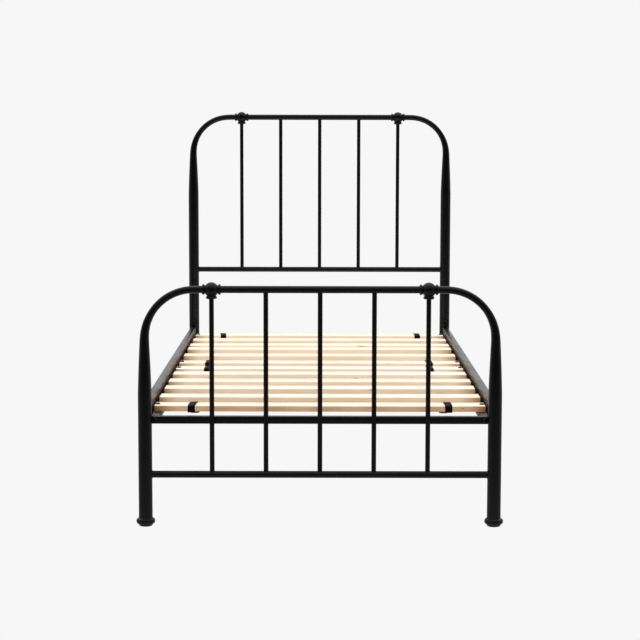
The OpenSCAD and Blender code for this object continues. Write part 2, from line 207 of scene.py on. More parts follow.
# %% Lamps
def soft_lamp(name, power, spread, tilt, turn):
    """A far, broad lamp. Tilt leans it from overhead towards the camera, turn swings it
    round the bed. It lights surfaces but isn't mirrored by them, as the sky is."""
    data = bpy.data.lights.new(name, "SUN")
    data.energy = power
    data.angle = math.radians(spread)
    lamp = bpy.data.objects.new(name, data)
    lamp.rotation_euler = (math.radians(tilt), 0.0, math.radians(turn))
    lamp.visible_glossy = False
    bpy.context.scene.collection.objects.link(lamp)


soft_lamp("overhead_light", 1.1, 60.0, 0.0, 0.0)
soft_lamp("front_light", 2.6, 45.0, 60.0, -8.0)

# %% [markdown]
# The floor is one large sheet of paper. To the camera it glows evenly like the sky, so the two
# meet without a line. To everything else it is dim near the camera and paler under the bed. A
# white diffuse sheet would be simpler, but it would take shadows and show its edge.

# %% Floor
floor_half = 30.0
floor_mesh = bpy.data.meshes.new("paper_floor")
floor_mesh.from_pydata([(x * floor_half, y * floor_half, 0.0) for x, y in
                        ((-1, -1), (1, -1), (1, 1), (-1, 1))], [], [(0, 1, 2, 3)])
floor = bpy.data.objects.new("paper_floor", floor_mesh)
bpy.context.scene.collection.objects.link(floor)
paper = bpy.data.materials.new("seamless_paper")
paper.use_nodes = True
tree = paper.node_tree
tree.nodes.clear()
glow = node_of(tree, "Emission", Strength=PAPER)
_, away, _ = xyz_of(tree, node_of(tree, "TexCoord").outputs["Object"])
dim = node_of(tree, "Emission")
tree.links.new(smooth_step(tree, away, -4.2, 0.6, 0.06, 0.42), dim.inputs["Strength"])
camera_ray = node_of(tree, "LightPath").outputs["Is Camera Ray"]
both = node_of(tree, "MixShader")
tree.links.new(camera_ray, both.inputs[0])
tree.links.new(dim.outputs[0], both.inputs[1])
tree.links.new(glow.outputs[0], both.inputs[2])
tree.links.new(both.outputs[0], node_of(tree, "OutputMaterial").inputs["Surface"])
floor_mesh.materials.append(paper)
print("floor", 2 * floor_half, "m square")

# %% [markdown]
# ## Finishes
#
# Powder coat is plastic powder melted onto steel. It has a fine orange peel about a millimetre
# across, and its gloss drifts a little. A flat colour would look like card, so the peel is a
# bump from noise, and the gloss and the black vary with noise of two other sizes. All of it
# reads the piece's own coordinates.


# %% Black powder coat
def fresh_material(name):
    """A material with one Principled shader, and the parts needed to wire it."""
    material = bpy.data.materials.new(name)
    material.use_nodes = True
    tree = material.node_tree
    shader = next(n for n in tree.nodes if n.type == "BSDF_PRINCIPLED")
    return material, tree, shader


def noise(tree, place, scale, detail=2.0, roughness=0.5, stretch=None):
    """Noise of a given number of features per metre, stretched along the axes if asked."""
    if stretch is not None:
        mapping = node_of(tree, "Mapping", Scale=stretch)
        tree.links.new(place, mapping.inputs["Vector"])
        place = mapping.outputs["Vector"]
    node = node_of(tree, "TexNoise", Scale=scale, Detail=detail, Roughness=roughness)
    tree.links.new(place, node.inputs["Vector"])
    return node.outputs["Fac"]


def blend_colour(tree, share, first, second):
    """A colour between two others. Each is four numbers or the output that feeds it."""
    mix = node_of(tree, "Mix")
    mix.data_type = "RGBA"
    for slot, value in ((0, share), (6, first), (7, second)):
        if hasattr(value, "links"):
            tree.links.new(value, mix.inputs[slot])
        else:
            mix.inputs[slot].default_value = value
    return mix.outputs[2]


def bump(tree, height, distance, after=None):
    """A Bump node: height from 0 to 1 stands for the given distance in metres."""
    node = node_of(tree, "Bump", Strength=1.0, Distance=distance)
    tree.links.new(height, node.inputs["Height"])
    if after is not None:
        tree.links.new(after, node.inputs["Normal"])
    return node.outputs["Normal"]


def powder_coat(name, dark, light, gloss, peel_scale, peel_depth):
    """Black powder coat: fine speckle in the colour, drifting gloss and an orange-peel bump."""
    material, tree, shader = fresh_material(name)
    place = node_of(tree, "TexCoord").outputs["Object"]
    speckle = noise(tree, place, 420.0, 3.0, 0.6)
    drift = noise(tree, place, 14.0, 2.0)
    tone = smooth_step(tree, speckle, 0.35, 0.7)
    colour = blend_colour(tree, tone, (*dark, 1.0), (*light, 1.0))
    tree.links.new(colour, shader.inputs["Base Color"])
    tree.links.new(smooth_step(tree, drift, 0.3, 0.7, *gloss), shader.inputs["Roughness"])
    peel = bump(tree, noise(tree, place, peel_scale, 1.5), peel_depth)
    waves = bump(tree, noise(tree, place, 60.0, 1.0), peel_depth * 2.0, after=peel)
    tree.links.new(waves, shader.inputs["Normal"])
    set_inputs(shader, {"Specular IOR Level": 0.42, "Specular Tint": (0.96, 0.94, 1.0, 1.0),
                        "IOR": 1.5})
    return material


paint = ((0.0010, 0.0010, 0.0011), (0.0022, 0.0022, 0.0025))
zinc = ((0.0008, 0.0008, 0.0010), (0.0020, 0.0020, 0.0023))
black_coat = powder_coat("black_powder_coat", *paint, (0.28, 0.34), 900.0, 0.000006)
cast_coat = powder_coat("cast_powder_coat", *paint, (0.20, 0.28), 520.0, 0.000005)
black_zinc = powder_coat("black_zinc", *zinc, (0.34, 0.42), 1500.0, 0.000005)
ledge_coat = powder_coat("ledge_powder_coat", *paint, (0.28, 0.34), 900.0, 0.000006)
print("finishes", [finish.name for finish in (black_coat, cast_coat, black_zinc, ledge_coat)])

# %% [markdown]
# The strip of ledge beyond the slats' ends is made dull and dark, as painted shade for the
# shadow between the slats' ends and the rail. A second material would end in a hard line, so
# the coat turns matt with distance from the bed's middle.


# %% Dull corner of the ledges
def matt_corner(material, start, stop):
    """Makes a coat matt and dull where it is further from the middle than start, in metres."""
    tree = material.node_tree
    shader = next(n for n in tree.nodes if n.type == "BSDF_PRINCIPLED")
    x, _, _ = xyz_of(tree, node_of(tree, "TexCoord").outputs["Object"])
    outward = calc(tree, "ABSOLUTE", x)
    for name, inner, outer in (("Roughness", 0.32, 0.80), ("Specular IOR Level", 0.42, 0.05)):
        tree.links.new(smooth_step(tree, outward, start, stop, inner, outer), shader.inputs[name])


slat_end = span("slat_04", 0)[1]
# painted shade: the ledge beyond the slats' ends loses its gloss and reflections
matt_corner(ledge_coat, slat_end - 0.001, slat_end + 0.002)
print("ledges are matt beyond", round(slat_end, 4), "m from the middle")

# %% [markdown]
# Softwood shows its growth rings as soft lines along the board, with pale early wood between
# them, fine fibres, and now and then a small knot. A wood picture could be wrapped on, but
# then edges and ends wouldn't match the face. Here the rings are cylinders in space, bent by
# noise, that each board cuts through, so face, edge and end grain agree. Each slat carries
# its own board coordinates, from another part of the tree, so no two are alike.


# %% Pine
def attribute_of(tree, name):
    """The vector that a mesh carries under a name."""
    node = node_of(tree, "Attribute")
    node.attribute_name = name
    return node.outputs["Vector"]


def pine_wood(name):
    """Growth rings as bent cylinders round a line along the board, with fibres, knots and
    resin streaks. The attribute "board" places the board in its tree, and "plank" tells how
    far out a point is along and across the board, and how much painted shade its edges get."""
    material, tree, shader = fresh_material(name)
    place = attribute_of(tree, "board")
    _, tree_y, tree_z = xyz_of(tree, place)
    share_x, share_y, edge_lighting = xyz_of(tree, attribute_of(tree, "plank"))

    # growth rings: distance from the tree's middle, bent by slow and finer noise
    sway = noise(tree, place, 3.0, 2.0, 0.5, (0.35, 1.0, 1.0))
    sway_fine = noise(tree, place, 30.0, 2.0, 0.5, (0.12, 1.0, 1.0))
    across = calc(tree, "ADD", tree_y, times(tree, sway, 0.05))
    deep = calc(tree, "ADD", tree_z, times(tree, sway_fine, 0.006))
    squares = [times(tree, value, value) for value in (across, deep)]
    radius = calc(tree, "SQRT", calc(tree, "ADD", *squares))
    rings_per_metre = 210.0
    ring = calc(tree, "FRACT", times(tree, radius, rings_per_metre))
    late = calc(tree, "POWER", ring, 3.0)

    # edges are tan and the wide faces are painted paler, a painted highlight for the light on
    # the tops; both have darker late wood and fibres
    fibre = noise(tree, place, 900.0, 3.0, 0.6, (0.02, 1.0, 1.0))
    stain = smooth_step(tree, noise(tree, place, 9.0, 3.0, 0.55, (0.4, 1.0, 1.0)), 0.3, 0.7)
    on_edge = smooth_step(tree, calc(tree, "ABSOLUTE", share_y), 0.96, 0.99)
    edge = blend_colour(tree, stain, (0.90, 0.70, 0.49, 1.0), (0.84, 0.61, 0.40, 1.0))
    # painted highlight: the wide faces' colour is paler than the edges'
    face = blend_colour(tree, stain, (0.90, 0.86, 0.80, 1.0), (0.88, 0.82, 0.73, 1.0))
    pale = blend_colour(tree, on_edge, face, edge)
    late_share = times(tree, late, 0.42)
    ringed = blend_colour(tree, late_share, pale, (0.66, 0.42, 0.25, 1.0))
    fibre_share = smooth_step(tree, fibre, 0.45, 0.75, 0.0, 0.30)
    fibred = blend_colour(tree, fibre_share, ringed, (0.66, 0.44, 0.28, 1.0))

    # resin streaks are short thin noise, knots are the middles of scattered cells
    resin = noise(tree, place, 60.0, 2.0, 0.55, (0.30, 1.0, 1.0))
    streak = times(tree, smooth_step(tree, resin, 0.69, 0.76), 0.55)
    streaked = blend_colour(tree, streak, fibred, (0.30, 0.12, 0.06, 1.0))
    cells = node_of(tree, "TexVoronoi", Scale=10.0, Randomness=1.0)
    stretch = node_of(tree, "Mapping", Scale=(0.55, 1.3, 1.3))
    tree.links.new(place, stretch.inputs["Vector"])
    tree.links.new(stretch.outputs["Vector"], cells.inputs["Vector"])
    ragged = times(tree, sway_fine, 0.02)
    near = calc(tree, "ADD", cells.outputs["Distance"], ragged)
    knot = times(tree, smooth_step(tree, near, 0.040, 0.085, 1.0, 0.0), 0.85)
    knotted = blend_colour(tree, knot, streaked, (0.16, 0.075, 0.035, 1.0))

    # painted shade: the edges darken towards the board's ends, where rails and posts shade them,
    # and the front boards' edges are painted darker all along, where less light reaches them
    outward = calc(tree, "SUBTRACT", calc(tree, "ABSOLUTE", share_x), 0.875)
    end_shade = calc(tree, "POWER", times(tree, outward, 8.0, clamp=True), 1.3)
    near_end = calc(tree, "SUBTRACT", 1.0, times(tree, end_shade, 0.48))
    tone = times(tree, near_end, edge_lighting)
    # painted shade on the edges only, made a little more saturated below
    edge_shade = times(tree, on_edge, calc(tree, "SUBTRACT", 1.0, tone))
    toned = node_of(tree, "VectorMath")
    toned.operation = "MULTIPLY"
    tree.links.new(knotted, toned.inputs[0])
    darker = blend_colour(tree, edge_shade, (1.0, 1.0, 1.0, 1.0), (0.08, 0.0, 0.0, 1.0))
    tree.links.new(darker, toned.inputs[1])
    shaded_colour = node_of(tree, "HueSaturation")
    tree.links.new(toned.outputs[0], shaded_colour.inputs["Color"])
    richer = calc(tree, "ADD", times(tree, edge_shade, 0.8), 1.0)
    tree.links.new(richer, shaded_colour.inputs["Saturation"])
    tree.links.new(shaded_colour.outputs["Color"], shader.inputs["Base Color"])

    tree.links.new(smooth_step(tree, fibre, 0.3, 0.8, 0.52, 0.72), shader.inputs["Roughness"])
    grain = calc(tree, "ADD", times(tree, late, 0.4), fibre)
    tree.links.new(bump(tree, grain, 0.00008), shader.inputs["Normal"])
    shader.inputs["Specular IOR Level"].default_value = 0.3
    print(name, "of", len(tree.nodes), "nodes")
    return material


pine = pine_wood("pale_pine")

# %% [markdown]
# Webbing is woven, so its face is rows of small ribs that lean left and right in turn, and
# its two edges are bound by a tighter selvedge. Threads could be modelled, but at twenty
# millimetres wide a bump does the same. The strap carries its own coordinates, distance along
# and distance across, and the ribs follow them round every fold.


# %% Webbing
def woven_webbing(name, half_width):
    """A herringbone of ribs along the strap, from its own along and across coordinates."""
    material, tree, shader = fresh_material(name)
    strap = attribute_of(tree, "strap")
    along, across, _ = xyz_of(tree, strap)
    turn = 2 * math.pi
    rib_width, rib_pitch, thread_pitch = 0.0025, 0.0013, 0.0011
    lean = calc(tree, "ADD", along, calc(tree, "PINGPONG", across, rib_width))
    rib = calc(tree, "SINE", times(tree, lean, turn / rib_pitch))
    thread = calc(tree, "SINE", times(tree, across, turn / thread_pitch))
    weave = calc(tree, "ADD", times(tree, rib, 0.5),
                 times(tree, thread, 0.35))
    edge = smooth_step(tree, calc(tree, "ABSOLUTE", across),
                       half_width - 0.0022, half_width - 0.001)
    fluff = noise(tree, strap, 1800.0, 2.0)
    tone = smooth_step(tree, calc(tree, "ADD", weave, fluff), -0.2, 1.4)
    colour = blend_colour(tree, tone, (0.0006, 0.0006, 0.0007, 1.0),
                          (0.0022, 0.0022, 0.0026, 1.0))
    tree.links.new(colour, shader.inputs["Base Color"])
    height = calc(tree, "ADD", weave, times(tree, edge, 0.6))
    tree.links.new(bump(tree, height, 0.00022), shader.inputs["Normal"])
    tree.links.new(smooth_step(tree, fluff, 0.2, 0.8, 0.55, 0.75), shader.inputs["Roughness"])
    set_inputs(shader, {"Sheen Weight": 0.01, "Sheen Roughness": 0.4,
                        "Specular IOR Level": 0.13})
    print(name, "of", len(tree.nodes), "nodes")
    return material


strap_w = width("strap_front_left", 0)
webbing = woven_webbing("black_webbing", strap_w / 2)

# %% [markdown]
# ## Making surfaces
#
# Every new piece is a grid of points bent into shape, rows along it and columns round it. The
# grid closes into a skin when the columns join up and each end gets a centre point. A shell is
# just its points and its faces, so shells of one casting can be put in one mesh.


# %% Shells
def closed_shell(points, ring=False):
    """Skins a grid of points, rows by columns. Columns join up, and each end closes on its
    centre, or with ring=True the last row joins the first. Faces are turned outwards by the
    sign of the enclosed volume."""
    rows, cols = points.shape[:2]
    i = np.arange(rows if ring else rows - 1)[:, None]
    j = np.arange(cols)[None, :]
    k = (j + 1) % cols
    up = (i + 1) % rows
    around = (i * cols + j, i * cols + k, up * cols + k, up * cols + j)
    quads = np.stack(np.broadcast_arrays(*around), axis=-1).reshape(-1, 4)
    flat = points.reshape(-1, 3)
    fans = np.zeros((0, 3), int)
    if not ring:
        flat = np.vstack([flat, points[0].mean(axis=0), points[-1].mean(axis=0)])
        low, high = rows * cols, rows * cols + 1
        j = np.arange(cols)
        k = (j + 1) % cols
        last = (rows - 1) * cols
        fans = np.vstack([np.stack([k, j, np.full(cols, low)], axis=1),
                          np.stack([last + j, last + k, np.full(cols, high)], axis=1)])
    triangles = np.vstack([quads[:, :3], quads[:, [0, 2, 3]], fans])
    a, b, c = (flat[triangles[:, n]] for n in range(3))
    if np.sum(a * np.cross(b, c)) < 0:
        quads, fans = quads[:, ::-1], fans[:, ::-1]
    return flat, quads.tolist() + fans.tolist()


def make_piece(name, shells, nodes, sharp=35.0, material=black_coat, marks=()):
    """Puts shells into one mesh, shades it smooth but for edges sharper than the angle, and
    lets it stand for its nodes. marks holds attribute names, each with a vector for each point."""
    points, faces, start = [], [], 0
    for shell_points, shell_faces in shells:
        points.append(shell_points)
        faces += [[start + corner for corner in face] for face in shell_faces]
        start += len(shell_points)
    mesh = bpy.data.meshes.new(name)
    mesh.from_pydata(np.vstack(points).tolist(), [], faces)
    for mark, vectors in marks:
        attribute = mesh.attributes.new(mark, "FLOAT_VECTOR", "POINT")
        attribute.data.foreach_set("vector", np.asarray(vectors, float).ravel())
    mesh.shade_smooth()
    mesh.set_sharp_from_angle(angle=math.radians(sharp))
    mesh.materials.append(material)
    piece = bpy.data.objects.new(name, mesh)
    bpy.context.scene.collection.objects.link(piece)
    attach(piece, "root")
    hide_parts(*nodes)
    print(name, len(faces), "faces")
    return piece


# %% [markdown]
# ## Posts
#
# A post is one steel tube. Its lower part keeps the full thickness, then it narrows into the
# bend and ends as thin as the top tube. A curve with a bevel and a taper object could draw it,
# but the radius is easier to say: an almost even fall with distance along the tube. So the
# post is rings set square to its centre line, which is a straight, a quarter turn that eases
# in and out, and another straight.


# %% Posts
bend_r = 0.132
bend_ease = 0.020  # half the length over which the curvature comes or goes
taper_below, taper_above = 0.150, 0.080  # where the taper starts and stops, from the bend
taper_ease = 0.25  # 0 is an even fall, 1 a fall that starts and stops level
socket_floor = 0.009  # how near the tube's end comes to the knuckle's middle


def post_radius(s):
    """Full radius, an almost even fall over the taper, then the thin radius. s is the distance
    past the start of the bend. A small sine softens both ends of the fall."""
    share = np.clip((s + taper_below) / (taper_below + taper_above), 0.0, 1.0)
    share = share - np.sin(2 * np.pi * share) / (2 * np.pi) * taper_ease
    return post_r + (arch_r - post_r) * share


def post_shell(side, y, top, sides=48):
    """Rings square to a centre line that rises, turns inwards through a quarter turn and runs
    level into its knuckle. The curvature comes and goes evenly over the ease on either side of
    each tangent point, and direction and place are its running sums."""
    arc = bend_r * math.pi / 2
    fine = np.linspace(-bend_ease, arc + bend_ease, 3001)
    step = fine[1] - fine[0]
    curved = (np.clip((fine + bend_ease) / (2 * bend_ease), 0.0, 1.0)
              * np.clip((arc + bend_ease - fine) / (2 * bend_ease), 0.0, 1.0))
    turned = np.cumsum(curved)
    turned *= (math.pi / 2) / turned[-1]
    inward, upward = np.cumsum(np.sin(turned)) * step, np.cumsum(np.cos(turned)) * step
    rise = top - foot_h - upward[-1]
    reach = post_x - knuckle_x - socket_floor - inward[-1]
    s = np.concatenate([np.linspace(-rise - bend_ease, -taper_below, 10)[:-1],
                        np.linspace(-taper_below, -bend_ease, 16)[:-1],
                        np.linspace(-bend_ease, arc + bend_ease, 64),
                        [arc + bend_ease + reach]])
    angle = np.interp(s, fine, turned, 0.0, math.pi / 2)
    centre_x = -np.interp(s, fine, inward, 0.0) - np.maximum(s - arc - bend_ease, 0.0)
    centre_z = foot_h + rise + np.interp(s, fine, upward, 0.0) + np.minimum(s + bend_ease, 0.0)
    turn = np.linspace(0.0, 2 * np.pi, sides, endpoint=False)
    radius = post_radius(s)[:, None] + coat
    out = radius * np.cos(turn)[None, :]
    x = side * (post_x + centre_x[:, None] + out * np.cos(angle)[:, None])
    z = centre_z[:, None] + out * np.sin(angle)[:, None]
    return closed_shell(np.stack([x, y + radius * np.sin(turn), z], axis=-1))


for end, way, side_name, side in CORNERS:
    node = f"{end}_post_{side_name}"
    make_piece(f"{node}_tube", [post_shell(side, way * end_y, top_h[end])], [node])

# %% [markdown]
# ## Bars, top tubes and spindles
#
# These are straight rods whose ends are cut to the round of the tube they meet and welded
# there, with a small hollow fillet. A boolean cut would leave a hard line, so every point of a
# rim is slid along the rod until it touches the other tube, and the radius swells near the
# rim as a quarter-round hollow.


# %% Rods
def rod_shell(axis, centre, start, stop, radius, hosts=(0.0, 0.0), fillets=(0.0, 0.0),
              sides=32):
    """A rod along X (axis 0) or Z (axis 2) from start to stop. At an end with a host radius,
    start or stop is the host's own axis, and each point ends where it meets the host's round.
    At an end with a fillet the radius grows by that much in a quarter-round hollow."""
    turn = np.linspace(0.0, 2 * np.pi, sides, endpoint=False)
    length = stop - start
    inward = 1.0 - np.sin(np.linspace(0.0, np.pi / 2, 7))
    swell = 1.0 - np.sqrt(np.maximum(0.0, 1.0 - (1.0 - inward) ** 2))
    first, last = (max(fillet, 1e-4) for fillet in fillets)
    along = np.concatenate([first * inward[::-1], length * np.linspace(0.0, 1.0, 9)[1:-1],
                            length - last * inward])[:, None]
    grow = np.concatenate([fillets[0] * swell[::-1], np.zeros(7), fillets[1] * swell])
    r = radius + coat + grow[:, None]
    u = r * np.cos(turn)[None, :]
    v = r * np.sin(turn)[None, :]
    low_cut, high_cut = (np.sqrt(np.maximum(host ** 2 - v ** 2, 0.0)) for host in hosts)
    share = along / length
    w = start + along + low_cut * (1.0 - share) - high_cut * share
    x, z = (w, centre[2] + u) if axis == 0 else (centre[0] + u, w)
    return closed_shell(np.stack([x, centre[1] + v, z], axis=-1))


bar_fillet, spindle_fillet = 0.004, 0.0022
for end, way in ENDS.items():
    y = way * end_y
    make_piece(f"{end}_bar", [rod_shell(0, (0, y, bar_h[end]), -post_x, post_x, bar_r,
                                        (post_r, post_r), (bar_fillet, bar_fillet))],
               [bar_node[end]])
    half = width(f"{end}_top_tube", 0) / 2
    make_piece(f"{end}_top_rod", [rod_shell(0, (0, y, top_h[end]), -half, half, arch_r)],
               [f"{end}_top_tube"])
    for number in range(1, 6):
        node = f"{end}_spindle_{number}"
        x = middle(node, 0)
        inner = 1 < number < 5
        stop = top_h[end] if inner else span(node, 2)[1]
        make_piece(f"{node}_rod", [rod_shell(2, (x, y, 0), bar_h[end], stop, spindle_r,
                                             (bar_r, arch_r if inner else 0.0),
                                             (spindle_fillet, spindle_fillet if inner else 0.0),
                                             24)], [node])

# %% [markdown]
# ## Cast knuckles
#
# A post, the top tube and the outer spindle meet in a casting: a ball with a beaded collar on
# each arm, and every hollow softly rounded. Joining a ball and rings with booleans would leave
# creases. Instead each arm is one turned profile, whose radius is a soft maximum of ball,
# neck, bead and tube: far from a joint the largest wins, and near it they blend.


# %% Knuckles
ball_r = 0.0195
bead_at, bead_r = 0.0215, 0.0035  # the collar's bead, from the ball's centre
softness = 0.0004
arm_reach, arm_neck, arm_bead = 0.027, 0.0115, 0.0145  # length, then radii
under_start, under_reach, under_neck, under_bead = 0.006, 0.0295, 0.0130, 0.0150
ring_at, ring_rise, ring_width = 0.0128, 0.0028, 0.0016  # a raised ring low on the ball
collet_at, collet_r = 0.0274, 0.0120  # where the cone over the spindle ends, its cap


def soft_max(values):
    """A maximum that blends where values are close: softness times the log of the sum of
    exponentials of value over softness."""
    stack = np.array(values) / softness
    top = stack.max(axis=0)
    return softness * (top + np.log(np.exp(stack - top).sum(axis=0)))


def round_over(w, centre, radius, lift):
    """Height of a circle of the given radius, lifted, at each w; far below zero outside it."""
    inside = radius ** 2 - (w - centre) ** 2
    return np.where(inside > 0, lift + np.sqrt(np.maximum(inside, 0.0)), -0.05)


def arm_profile(w, neck_r, bead_out, tube_r, ball):
    """Radius of an arm at distance w from the ball's centre."""
    bead = round_over(np.abs(w), bead_at, bead_r, bead_out - bead_r)
    fall = np.clip((np.abs(w) - bead_at - bead_r * 0.6) / bead_r, 0.0, 1.0)
    lip = 0.0004  # the collar's open end stands this far off its tube
    neck = neck_r + (tube_r + lip - neck_r) * fall
    return soft_max([bead, neck] + ([round_over(w, 0.0, ball_r, 0.0)] if ball else []))


def turned_shell(centre, axis, w, radius, sides=48):
    """Turns a profile, radius at each distance w along an axis, round that axis."""
    turn = np.linspace(0.0, 2 * np.pi, sides, endpoint=False)
    u = radius[:, None] * np.cos(turn)
    v = radius[:, None] * np.sin(turn)
    long = np.broadcast_to(w[:, None], u.shape)
    parts = {0: (long, u, v), 1: (u, long, v), 2: (u, v, long)}[axis]
    return closed_shell(np.stack(parts, axis=-1) + np.array(centre))


arm_w = arm_reach * np.sin(np.linspace(-np.pi / 2, np.pi / 2, 121))
under_w = np.linspace(-under_reach, -under_start, 60)
for end, way, side_name, side in CORNERS:
    node = f"{end}_knuckle_{side_name}"
    centre = (side * knuckle_x, way * end_y, top_h[end])
    arm = arm_profile(arm_w, arm_neck, arm_bead, arch_r, True)
    under = arm_profile(under_w, under_neck, under_bead, spindle_r, False)
    under = under + ring_rise * np.exp(-((under_w + ring_at) / ring_width) ** 2)
    collet = np.clip(spindle_r + collet_at + under_w, spindle_r, collet_r)
    shells = [turned_shell(centre, 0, arm_w, arm, 64),
              turned_shell(centre, 2, under_w, soft_max([under, collet]), 48)]
    make_piece(f"{node}_casting", shells, [node], 50.0, cast_coat)

# %% [markdown]
# ## Feet
#
# Each post stands on a turned foot with a fat ring, a small step above it and a drum below,
# plugged into the tube's end. The whole outline is one smooth curve through a few points,
# carried round the post's axis.


# %% Feet
def smooth_curve(points, steps):
    """A Catmull-Rom curve: each stretch leaves along half the difference of its neighbours."""
    p = np.asarray(points, float)
    p = np.vstack([2 * p[0] - p[1], p, 2 * p[-1] - p[-2]])
    t = np.linspace(0.0, 1.0, steps, endpoint=False)[:, None]
    pieces = [0.5 * (2 * p[i] + (p[i + 1] - p[i - 1]) * t
                     + (2 * p[i - 1] - 5 * p[i] + 4 * p[i + 1] - p[i + 2]) * t ** 2
                     + (3 * p[i] - 3 * p[i + 1] + p[i + 2] - p[i - 1]) * t ** 3)
              for i in range(1, len(p) - 2)]
    return np.vstack(pieces + [p[-2:-1]])


# heights, and how far inside the foot's full radius the outline lies there
foot_insets = [(0.0, 0.0112), (0.0003, 0.0094), (0.0012, 0.0079), (0.0027, 0.0071),
               (0.0044, 0.0065), (0.0056, 0.0054), (0.0068, 0.0035), (0.0084, 0.0018),
               (0.0108, 0.0005), (0.0138, 0.0001), (0.0166, 0.0003), (0.0190, 0.0014),
               (0.0209, 0.0034), (0.0219, 0.0056), (0.0226, 0.0066)]
foot_outline = [(height, foot_r - inset) for height, inset in foot_insets]
foot_outline += [(0.0240, post_r + 0.0008), (foot_h, post_r + coat)]  # up to the tube
outline = smooth_curve(foot_outline, 8)
for node in [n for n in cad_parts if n.startswith("foot_")]:
    centre = (middle(node, 0), middle(node, 1), 0.0)
    make_piece(f"{node}_turned", [turned_shell(centre, 2, *outline.T, 64)], [node], 50.0,
               cast_coat)

# %% [markdown]
# ## Rails, ledges and plates
#
# These are lengths of a constant section: rounded square tube, folded sheet, curved plate.
# One function carries a closed outline along an axis and draws it in a little at both ends, so
# that each end has a small rounded edge. A Bevel modifier would do the same, but not where an
# end is cut to a round.


# %% Sections
def rounded_outline(corners, radius, steps=5):
    """Closed outline through corners, each rounded by an arc of its own radius. Corner by
    corner, the arc is a curve from one side's tangent point to the other's."""
    corners = np.asarray(corners, float)
    rows = []
    for here, before, after, r in zip(corners, np.roll(corners, 1, axis=0),
                                      np.roll(corners, -1, axis=0),
                                      np.broadcast_to(radius, len(corners))):
        to_before = (before - here) / np.linalg.norm(before - here)
        to_after = (after - here) / np.linalg.norm(after - here)
        half = 0.5 * math.acos(float(np.clip(to_before @ to_after, -1.0, 1.0)))
        cut = r / math.tan(half)
        inward = (to_before + to_after) / np.linalg.norm(to_before + to_after)
        heart = here + inward * r / math.sin(half)
        first, last = here + to_before * cut - heart, here + to_after * cut - heart
        span_angle = math.pi - 2 * half
        for k in range(steps + 1):
            t = span_angle * k / steps
            spoke = first * math.sin(span_angle - t) + last * math.sin(t)
            rows.append(heart + spoke / math.sin(span_angle))
    return np.array(rows)


def outline_normals(outline):
    """Outward unit normals of a closed outline, square to the chord between neighbours."""
    chord = np.roll(outline, -1, axis=0) - np.roll(outline, 1, axis=0)
    normal = np.stack([chord[:, 1], -chord[:, 0]], axis=1)
    normal /= np.maximum(np.linalg.norm(normal, axis=1, keepdims=True), 1e-12)
    (a, b), (a_next, b_next) = outline.T, np.roll(outline, -1, axis=0).T
    return normal if np.sum(a * b_next - b * a_next) > 0 else -normal


def section_grid(outline, start, stop, ease, middles=1, cut=None):
    """Rows of an outline from start to stop, as (along, first, second), drawn in by ease at
    both ends on a quarter circle. cut, if given, is each point's own shortening at the ends."""
    fan = np.linspace(0.0, np.pi / 2, 5)
    drawn_in = ease * (1 - np.sin(fan))
    inset = np.concatenate([drawn_in, np.zeros(middles), drawn_in[::-1]])
    along = np.concatenate([start + ease * (1 - np.cos(fan)),
                            np.linspace(start, stop, middles + 2)[1:-1],
                            stop - ease * (1 - np.cos(fan[::-1]))])
    normal = outline_normals(outline)
    grid = np.empty((len(along), len(outline), 3))
    share = (along - start) / (stop - start)
    shift = np.zeros((len(along), len(outline)))
    if cut is not None:
        shift = cut[None, :] * (1 - 2 * share)[:, None]
    grid[..., 0] = along[:, None] + shift
    grid[..., 1] = outline[None, :, 0] - inset[:, None] * normal[None, :, 0]
    grid[..., 2] = outline[None, :, 1] - inset[:, None] * normal[None, :, 1]
    return grid


def box_outline(a0, a1, b0, b1, radius, steps=5):
    """A rounded rectangle between two pairs of values."""
    return rounded_outline([(a0, b0), (a1, b0), (a1, b1), (a0, b1)], radius, steps)


def extents(node, across):
    """How near and how far a node lies from the bed's middle along one axis, then its heights."""
    return (*sorted(abs(v) for v in span(node, across)), *span(node, 2))


def run_along_y(grid, side):
    """Skins a section grid that runs along Y, on one side of the bed."""
    return closed_shell(np.stack([side * grid[..., 1], grid[..., 0], grid[..., 2]], axis=-1))


saddle_r = post_r + 0.004  # outer radius of the curved plates
side_corner, end_corner = 0.002, 0.0015
cut_edge, sheet_edge, tab_edge, plate_edge = 0.0002, 0.0004, 0.0006, 0.0010  # rounding of ends
sheet_t = 0.0025
fold_corners = [0.0003, 0.0028, 0.0008, 0.0008, 0.0006, 0.0003]
for side_name, side in SIDES.items():
    node = f"side_rail_{side_name}"
    outline = box_outline(*extents(node, 0), side_corner)
    cut = np.sqrt(saddle_r ** 2 - (outline[:, 0] - post_x) ** 2)
    shell = run_along_y(section_grid(outline, -end_y, end_y, cut_edge, 5, cut), side)
    make_piece(f"{node}_tube", [shell], [node], 30.0)

    node = f"slat_ledge_{side_name}"
    x0, x1, z0, z1 = extents(node, 0)
    fold = rounded_outline([(x1, z1), (x0, z1), (x0, z0), (x0 + sheet_t, z0),
                            (x0 + sheet_t, z1 - sheet_t), (x1, z1 - sheet_t)], fold_corners)
    shell = run_along_y(section_grid(fold, *span(node, 1), sheet_edge, 5), side)
    make_piece(f"{node}_sheet", [shell], [node], 30.0, ledge_coat)

# %% [markdown]
# The end rails run between the two posts of an end. A tab is flat bar with a rounded nose, and
# a curved plate is a piece of thick tube that fits round a post. Booleans of cylinders would
# give the same shapes, but with hard edges.

# %% End rails, their tabs and the curved plates
for end, way in ENDS.items():
    node = f"{end}_end_rail"
    outline = box_outline(*extents(node, 1), end_corner)
    cut = np.sqrt(np.maximum(post_r ** 2 - (outline[:, 0] - end_y) ** 2, 0.0))
    cut = np.maximum(cut, post_x - span(node, 0)[1])
    grid = section_grid(outline, -post_x, post_x, cut_edge, 5, cut)
    shell = closed_shell(np.stack([grid[..., 0], way * grid[..., 1], grid[..., 2]], axis=-1))
    make_piece(f"{node}_tube", [shell], [node], 30.0)

